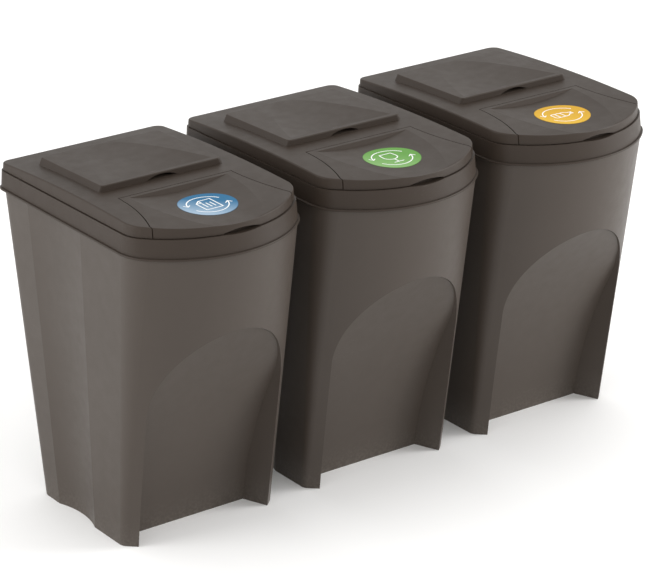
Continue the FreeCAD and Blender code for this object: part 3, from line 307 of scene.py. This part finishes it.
@dataclass(frozen=True)
class Plastic:
    """A moulded plastic skin."""

    name: str
    base: Colour
    warm: Colour
    roughness: float = 0.46
    grain_scale: float = 1100.0
    grain_depth: float = 0.00006
    drift: float = 0.6
    rub: float = 0.35
    dust: float = 0.0
    dust_reach: float = 0.06
    gloss: float = 0.32
    bump_strength: float = 0.55
    pit_shade: float = 0.8
    worn: Colour = (0.12, 0.108, 0.096)
    dusty: Colour = (0.3, 0.275, 0.24)

    def material(self, effects: Effects) -> bpy.types.Material:
        """Make the material.

        Args:
            effects: the shared surface effects.

        Returns:
            The new material.
        """
        made = bpy.data.materials.new(self.name)
        made.use_nodes = True
        tree = Tree(made.node_tree)
        skin = made.node_tree.nodes["Principled BSDF"]
        tone = tree.add("ShaderNodeGroup", node_tree=effects.tone)
        tone.inputs["Base"].default_value = (*self.base, 1.0)
        tone.inputs["Warm"].default_value = (*self.warm, 1.0)
        tone.inputs["Amount"].default_value = self.drift
        rub = tree.add("ShaderNodeGroup", node_tree=effects.rub)
        rub.inputs["Amount"].default_value = self.rub
        grain = tree.add("ShaderNodeGroup", node_tree=effects.grain)
        grain.inputs["Scale"].default_value = self.grain_scale
        dark = tuple(self.pit_shade * part for part in self.base)
        colour = tree.mix(tree.math("MULTIPLY", grain.outputs["Pits"], 0.3),
                          tone.outputs["Colour"], dark)
        colour = tree.mix(tree.math("MULTIPLY", rub.outputs["Scratches"], 0.5), colour, self.worn)
        if self.dust:
            dust = tree.add("ShaderNodeGroup", node_tree=effects.dust)
            dust.inputs["Amount"].default_value = self.dust
            dust.inputs["Reach"].default_value = self.dust_reach
            colour = tree.mix(dust.outputs["Mask"], colour, self.dusty)
        tree.feed(colour, skin.inputs["Base Color"])
        uneven = tree.spread(tree.noise(60.0, 3.0), 0.3, 0.7, -0.03, 0.03)
        polish = tree.math("MULTIPLY", rub.outputs["Polish"], -0.06)
        rough = tree.math("ADD", tree.math("ADD", uneven, self.roughness), polish)
        tree.feed(rough, skin.inputs["Roughness"])
        bump = tree.add("ShaderNodeBump")
        bump.inputs["Strength"].default_value = self.bump_strength
        bump.inputs["Distance"].default_value = self.grain_depth
        tree.feed(grain.outputs["Height"], bump.inputs["Height"])
        tree.feed(bump.outputs["Normal"], skin.inputs["Normal"])
        skin.inputs["Specular IOR Level"].default_value = self.gloss
        return made


@dataclass(frozen=True)
class Vinyl:
    """Printed sticker vinyl: one colour that drifts into another across the disc."""

    name: str
    colour: Colour
    far_colour: Colour
    towards: Point = (-0.7, -0.7)
    fade_start: float = -0.4
    edge_share: float = 0.972
    edge_end: float = 0.99
    gloss: float = 0.1
    roughness: float = 0.4
    rub: float = 0.5
    bump_depth: float = 0.00004

    def material(self, effects: Effects, centre: Vector, radius: float) -> bpy.types.Material:
        """Make the material for one sticker.

        Args:
            effects: the shared surface effects.
            centre: the middle of the sticker.
            radius: the sticker's radius.

        Returns:
            The new material.
        """
        made = bpy.data.materials.new(self.name)
        made.use_nodes = True
        tree = Tree(made.node_tree)
        skin = made.node_tree.nodes["Principled BSDF"]
        shift = tree.add("ShaderNodeVectorMath", operation="SUBTRACT")
        shift.inputs[1].default_value = centre
        tree.feed(tree.place(), shift.inputs[0])
        along = tree.add("ShaderNodeVectorMath", operation="DOT_PRODUCT")
        along.inputs[1].default_value = (*self.towards, 0.0)
        tree.feed(shift.outputs["Vector"], along.inputs[0])
        fade = tree.spread(along.outputs["Value"], self.fade_start * radius, radius, 0.0, 1.0)
        ink = tree.mix(fade, self.colour, self.far_colour)
        speckle = tree.spread(tree.noise(2600.0, 2.0), 0.35, 0.65, 0.0, 0.16)
        ink = tree.mix(speckle, ink, tuple(min(1.0, 1.25 * part) for part in self.colour))
        flat = tree.add("ShaderNodeVectorMath", operation="MULTIPLY")
        flat.inputs[1].default_value = (1.0, 1.0, 0.0)
        tree.feed(shift.outputs["Vector"], flat.inputs[0])
        reach = tree.add("ShaderNodeVectorMath", operation="LENGTH")
        tree.feed(flat.outputs["Vector"], reach.inputs[0])
        edge = tree.spread(reach.outputs["Value"], self.edge_share * radius,
                           self.edge_end * radius, 0.0, 0.45)
        ink = tree.mix(edge, ink, tuple(0.5 * part for part in self.colour))
        tree.feed(ink, skin.inputs["Base Color"])
        skin.inputs["Specular IOR Level"].default_value = self.gloss
        rub = tree.add("ShaderNodeGroup", node_tree=effects.rub)
        rub.inputs["Amount"].default_value = self.rub
        rough = tree.math("ADD", tree.math("MULTIPLY", rub.outputs["Polish"], 0.1), self.roughness)
        tree.feed(rough, skin.inputs["Roughness"])
        bump = tree.add("ShaderNodeBump")
        bump.inputs["Strength"].default_value = 0.25
        bump.inputs["Distance"].default_value = self.bump_depth
        tree.feed(tree.noise(420.0, 2.0), bump.inputs["Height"])
        tree.feed(bump.outputs["Normal"], skin.inputs["Normal"])
        return made


@dataclass(frozen=True)
class Ink:
    """White screen-printed ink."""

    name: str = "white_ink"
    colour: Colour = (0.86, 0.87, 0.86)
    thin_colour: Colour = (0.68, 0.72, 0.74)
    roughness: float = 0.5
    unevenness: float = 0.06
    bump_depth: float = 0.00003

    def material(self) -> bpy.types.Material:
        """Make the material.

        Returns:
            The new material.
        """
        made = bpy.data.materials.new(self.name)
        made.use_nodes = True
        tree = Tree(made.node_tree)
        skin = made.node_tree.nodes["Principled BSDF"]
        thin = tree.spread(tree.noise(1500.0, 3.0), 0.35, 0.7, 0.0, 0.22)
        tree.feed(tree.mix(thin, self.colour, self.thin_colour), skin.inputs["Base Color"])
        tree.feed(tree.spread(tree.noise(700.0), 0.3, 0.7, self.roughness - self.unevenness,
                              self.roughness + self.unevenness), skin.inputs["Roughness"])
        bump = tree.add("ShaderNodeBump")
        bump.inputs["Strength"].default_value = 0.3
        bump.inputs["Distance"].default_value = self.bump_depth
        tree.feed(tree.noise(2200.0, 2.0), bump.inputs["Height"])
        tree.feed(bump.outputs["Normal"], skin.inputs["Normal"])
        return made


def arc(centre: Point, radius: float, start: float, end: float, steps: int = 24) -> Stroke:
    """Points along an arc.

    Args:
        centre: the arc's centre.
        radius: its radius.
        start: where it starts, in degrees.
        end: where it ends, in degrees.
        steps: how many pieces it is drawn in.

    Returns:
        The points.
    """
    turns = [math.radians(start + (end - start) * step / steps) for step in range(steps + 1)]
    return [(centre[0] + radius * math.cos(turn), centre[1] + radius * math.sin(turn))
            for turn in turns]


@dataclass
class Pictogram:
    """Line drawing on a sticker, in units of the sticker's radius."""

    kind: Kind
    line: float = 0.04
    ring: float = 0.7
    arrow: float = 0.16
    arrow_starts: Point = (24.0, 204.0)
    arrow_sweep: float = 142.0
    tip_lead: float = 4.0

    def strokes(self) -> list[Stroke]:
        """Return the strokes of the ring's two arrows and of the thing inside."""
        inside: dict[Kind, Callable[[], list[Stroke]]] = {
            Kind.PAPER: self._sheets, Kind.GLASS: self._glass, Kind.BOTTLES: self._bottle}
        return self.arrows() + inside[self.kind]()

    def arrows(self) -> list[Stroke]:
        """Return two arrows that chase each other round the ring."""
        drawn: list[Stroke] = []
        for start in self.arrow_starts:
            end = start + self.arrow_sweep
            drawn.append(arc((0.0, 0.0), self.ring, start, end, 40))
            tip = math.radians(end + self.tip_lead)
            nose = Vector((math.cos(tip), math.sin(tip))) * self.ring
            back = Vector((math.sin(tip), -math.cos(tip)))
            wings = []
            for side in (-1.0, 1.0):
                out = Vector((math.cos(tip), math.sin(tip))) * side
                wings.append(tuple(nose + (back * 0.85 + out * 0.75) * self.arrow))
            drawn.append([wings[0], tuple(nose), wings[1]])
        return drawn

    def _sheets(self) -> list[Stroke]:
        """Return a sheet of paper with a turned corner and three lines of print."""
        left, right, low, high, fold = -0.3, 0.34, -0.4, 0.42, 0.2
        sheet = [(left, low), (right, low), (right, high), (left + fold, high),
                 (left, high - fold), (left, low)]
        corner = [(left, high - fold), (left + fold, high - fold), (left + fold, high)]
        prints = [[(x, -0.22), (x, 0.16)] for x in (-0.12, 0.03, 0.18)]
        return [sheet, corner, *prints]

    def _glass(self) -> list[Stroke]:
        """Return a stemmed glass."""
        bowl = [(-0.24, 0.42), *arc((0.0, 0.14), 0.27, 180.0, 360.0, 18), (0.24, 0.42)]
        mouth = [(-0.24, 0.42), (0.24, 0.42)]
        stem = [(0.0, -0.13), (0.0, -0.4)]
        foot = [(-0.2, -0.41), (0.2, -0.41)]
        return [bowl, mouth, stem, foot]

    def _bottle(self) -> list[Stroke]:
        """Return a bottle that lies on its side, with a cap."""
        outline = [(0.36, -0.07), (0.27, -0.08), *arc((0.1, -0.03), 0.16, 310.0, 270.0, 6),
                   *arc((-0.34, -0.12), 0.07, 270.0, 180.0, 6),
                   *arc((-0.34, 0.12), 0.07, 180.0, 90.0, 6),
                   *arc((0.1, 0.03), 0.16, 90.0, 50.0, 6), (0.27, 0.08), (0.36, 0.07),
                   (0.36, -0.07)]
        cap = [(0.42, -0.1), (0.42, 0.1)]
        band = [(-0.22, -0.19), (-0.22, 0.19)]
        second = [(0.02, -0.19), (0.02, 0.19)]
        return [outline, cap, band, second]


@dataclass
class Print:
    """The white print of one sticker, laid on the sticker's curved face."""

    number: int
    kind: Kind
    lift: float = 0.00006
    thickness: float = 0.00005
    step: float = 0.0012
    clearance: float = 0.05

    def __post_init__(self) -> None:
        """Find the sticker that the print lies on."""
        name = f"sticker_{self.number}"
        low, high = (Vector(corner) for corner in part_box(name))
        self.centre = (low + high) / 2
        self.radius = (high.x - low.x) / 2
        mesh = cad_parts[name].data
        corners = [vertex.co.copy() for vertex in mesh.vertices]
        faces = [tuple(face.vertices) for face in mesh.polygons]
        self.face = BVHTree.FromPolygons(corners, faces)

    def build(self, ink: bpy.types.Material) -> None:
        """Make the arrows and the drawing as two pieces that ride on the flap.

        Args:
            ink: the print's material.
        """
        drawing = Pictogram(self.kind)
        strokes = drawing.strokes()
        split = len(drawing.arrows())
        parts = {"arrows": strokes[:split], "icon": strokes[split:]}
        for title, lines in parts.items():
            piece = self._piece(f"print_{title}_{self.number}", lines, drawing.line)
            piece.data.materials.append(ink)
            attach(piece, f"flap_{self.number}")
            LOG.info("print piece %s: %d faces", piece.name, len(piece.data.polygons))

    def _piece(self, name: str, lines: Iterable[Stroke], width: float) -> bpy.types.Object:
        """Draw strokes as one thin raised piece.

        Args:
            name: the piece's name.
            lines: the strokes, in units of the sticker's radius.
            width: their width, in the same units.

        Returns:
            The new object.
        """
        mesh = bmesh.new()
        for line in lines:
            self._ribbon(mesh, self._even(line), width * self.radius / 2)
        bmesh.ops.recalc_face_normals(mesh, faces=mesh.faces[:])
        data = bpy.data.meshes.new(name)
        mesh.to_mesh(data)
        mesh.free()
        for face in data.polygons:
            face.use_smooth = False
        piece = bpy.data.objects.new(name, data)
        bpy.context.scene.collection.objects.link(piece)
        return piece

    def _even(self, line: Stroke) -> list[Vector]:
        """Turn a stroke into metres and divide its long runs.

        Args:
            line: the stroke.

        Returns:
            Points in the sticker's plane, about its centre.
        """
        points = [Vector(point) * self.radius for point in line]
        even = [points[0]]
        for start, end in zip(points, points[1:]):
            count = max(1, round((end - start).length / self.step))
            even.extend(start.lerp(end, share / count) for share in range(1, count + 1))
        return even

    def _ribbon(self, mesh: bmesh.types.BMesh, line: list[Vector], half: float) -> None:
        """Add one stroke, with mitred corners, to the mesh.

        Args:
            mesh: the mesh that is being made.
            line: the stroke's middle line.
            half: half its width.
        """
        rows = []
        closed = (line[0] - line[-1]).length < 1e-7
        last = len(line) - 1
        for index, point in enumerate(line):
            before = line[index - 1] if index else (line[-2] if closed else point)
            after = line[index + 1] if index < last else (line[1] if closed else point)
            rows.append(self._row(mesh, point, before, after, half))
        for first, second in zip(rows, rows[1:]):
            for near, far in ((0, 1), (1, 3), (3, 2), (2, 0)):
                mesh.faces.new((first[near], first[far], second[far], second[near]))
        if not closed:
            for row in (rows[0], rows[-1]):
                mesh.faces.new((row[0], row[1], row[3], row[2]))

    def _row(self, mesh: bmesh.types.BMesh, point: Vector, before: Vector, after: Vector,
             half: float) -> list[bmesh.types.BMVert]:
        """Make the four corners of the stroke at one point.

        Args:
            mesh: the mesh that is being made.
            point: the point on the middle line.
            before: the point before it.
            after: the point after it.
            half: half the stroke's width.

        Returns:
            Low left, high left, low right, high right.
        """
        into = (point - before).normalized() if before != point else Vector((0.0, 0.0))
        out = (after - point).normalized() if after != point else Vector((0.0, 0.0))
        way = (into + out).normalized() if (into + out).length > 1e-6 else out
        across = Vector((-way.y, way.x))
        if into.length and out.length:
            half = half / max(0.5, math.sqrt(max(0.0, (1.0 + into.dot(out)) / 2)))
        corners = []
        for side in (1.0, -1.0):
            spot = point + across * half * side
            for height in (self.lift, self.lift + self.thickness):
                corners.append(mesh.verts.new(self._on_face(spot, height)))
        return corners

    def _on_face(self, spot: Vector, height: float) -> Vector:
        """Find the place on the sticker below a point.

        Args:
            spot: the point in plan, about the centre.
            height: how far above the sticker it goes.

        Returns:
            The place in the row's frame.
        """
        above = Vector((self.centre.x + spot.x, self.centre.y + spot.y,
                        self.centre.z + self.clearance))
        hit = self.face.ray_cast(above, Vector((0.0, 0.0, -1.0)))[0]
        level = hit.z if hit is not None else self.centre.z
        return Vector((above.x, above.y, level + height))


@dataclass
class Palette:
    """The finishes of the row, with painted shade in the lid plastic."""

    tub: Plastic = Plastic("tub_skin", (0.054, 0.0425, 0.0345), (0.059, 0.0465, 0.0375),
                           roughness=0.46, dust=0.16)
    # Painted shade: the lid, rim and flap use the tub's plastic made about a third darker, to copy
    # how dark the light leaves them.
    top: Plastic = Plastic("lid_skin_painted_shade", (0.0365, 0.0268, 0.0205), (0.0395, 0.029, 0.0222),
                           roughness=0.48, rub=0.5, gloss=0.2)
    clip: Plastic = Plastic("clip_skin", (0.05, 0.043, 0.036), (0.056, 0.048, 0.04))
    pin: Plastic = Plastic("pin_skin", (0.012, 0.012, 0.013), (0.016, 0.015, 0.015),
                           roughness=0.38, grain_scale=2400.0, grain_depth=0.00002)
    vinyls: dict[Kind, Vinyl] = field(default_factory=lambda: {
        Kind.PAPER: Vinyl("vinyl_blue", (0.009, 0.12, 0.25), (0.36, 0.47, 0.58)),
        Kind.GLASS: Vinyl("vinyl_green", (0.1, 0.28, 0.045), (0.2, 0.38, 0.13)),
        Kind.BOTTLES: Vinyl("vinyl_yellow", (0.56, 0.31, 0.008), (0.66, 0.4, 0.022))})


@dataclass
class Bin:
    """One bin: its CAD nodes' finishes and the print on its sticker."""

    number: int
    kind: Kind

    def dress(self, materials: dict[str, bpy.types.Material], vinyl: Vinyl,
              effects: Effects) -> None:
        """Give each node of the bin its material.

        Args:
            materials: the row's plastics and ink by name.
            vinyl: the finish of the sticker.
            effects: the shared surface effects.
        """
        # The rim, lid and flap wear the lid plastic, whose darker colour is painted shade.
        for part, name in (("bucket", "tub"), ("rim", "top"), ("lid", "top"), ("flap", "top"),
                           ("lid_pin_left", "pin"), ("lid_pin_right", "pin"),
                           ("flap_pin_left", "pin"), ("flap_pin_right", "pin")):
            paint(f"{part}_{self.number}", materials[name])
        sticker = Print(self.number, self.kind)
        paint(f"sticker_{self.number}", vinyl.material(effects, sticker.centre, sticker.radius))
        sticker.build(materials["ink"])


def paint(node: str, material: bpy.types.Material) -> None:
    """Give a CAD node one material.

    Args:
        node: the node's name.
        material: its material.
    """
    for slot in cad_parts[node].material_slots:
        slot.material = material
    LOG.info("node %s wears %s", node, material.name)


@dataclass
class Studio:
    """Camera, pale floor and soft light."""

    eye: Place = (-2.4497, -3.3074, 1.9469)
    turn: float = 36.13
    dip: float = 22.36
    lens: float = 171.3
    sensor: float = 36.0
    floor_reach: float = 14.0
    floor_colour: Colour = (0.97, 0.968, 0.964)
    floor_shade: float = 0.985
    world_colour: Colour = (1.0, 0.995, 0.985)
    world_level: float = 1.09

    def build(self) -> None:
        """Make everything around the object."""
        bpy.context.scene.view_settings.view_transform = "Standard"
        self._camera()
        self._floor()
        self._world()
        self._softbox("softbox_left", (-3.4, 0.9, 1.2), (0.0, 0.0, 0.25), 1.8, 44.0)
        self._softbox("softbox_right", (3.1, -2.0, 1.3), (0.2, 0.0, 0.25), 1.4, 88.0)
        self._softbox("softbox_top", (-0.2, 0.5, 3.4), (0.0, 0.0, 0.4), 2.4, 6.0)

    def _camera(self) -> None:
        """Stand the camera in front of the row, to the left and above."""
        data = bpy.data.cameras.new("camera")
        data.lens = self.lens
        data.sensor_width = self.sensor
        camera = bpy.data.objects.new("camera", data)
        camera.location = self.eye
        camera.rotation_euler = (math.radians(90.0 - self.dip), 0.0, math.radians(-self.turn))
        bpy.context.scene.collection.objects.link(camera)
        bpy.context.scene.camera = camera

    def _floor(self) -> None:
        """Lay a wide pale floor with a slightly uneven matt coat."""
        mesh = bmesh.new()
        bmesh.ops.create_grid(mesh, x_segments=8, y_segments=8, size=self.floor_reach)
        data = bpy.data.meshes.new("floor")
        mesh.to_mesh(data)
        mesh.free()
        floor = bpy.data.objects.new("floor", data)
        bpy.context.scene.collection.objects.link(floor)
        made = bpy.data.materials.new("floor_paint")
        made.use_nodes = True
        tree = Tree(made.node_tree)
        coat = made.node_tree.nodes["Principled BSDF"]
        shade = tuple(self.floor_shade * part for part in self.floor_colour)
        tree.feed(tree.mix(tree.noise(3.0, 3.0), self.floor_colour, shade),
                  coat.inputs["Base Color"])
        coat.inputs["Roughness"].default_value = 0.8
        coat.inputs["Specular IOR Level"].default_value = 0.2
        data.materials.append(made)

    def _world(self) -> None:
        """Fill the room with even white light."""
        world = bpy.data.worlds.new("studio")
        world.use_nodes = True
        back = world.node_tree.nodes["Background"]
        back.inputs["Color"].default_value = (*self.world_colour, 1.0)
        back.inputs["Strength"].default_value = self.world_level
        bpy.context.scene.world = world

    @staticmethod
    def _softbox(name: str, place: Place, target: Place, width: float, power: float) -> None:
        """Hang one square softbox.

        Args:
            name: the light's name.
            place: where it hangs.
            target: what it faces.
            width: its side.
            power: its power in watts.
        """
        data = bpy.data.lights.new(name, "AREA")
        data.size = width
        data.energy = power
        light = bpy.data.objects.new(name, data)
        light.location = place
        way = Vector(target) - Vector(place)
        light.rotation_euler = way.to_track_quat("-Z", "Y").to_euler()
        bpy.context.scene.collection.objects.link(light)


def main() -> None:
    """Dress the row, print its stickers and light it."""
    logging.basicConfig(level=logging.INFO, format="%(name)s: %(message)s")
    Studio().build()
    effects = Effects()
    palette = Palette()
    materials = {name: getattr(palette, name).material(effects)
                 for name in ("tub", "top", "clip", "pin")}
    materials["ink"] = Ink().material()
    for kind in Kind:
        Bin(kind.value, kind).dress(materials, palette.vinyls[kind], effects)
    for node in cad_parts:
        if node.startswith("clip_"):
            paint(node, materials["clip"])


if __name__ == "__main__":
    main()
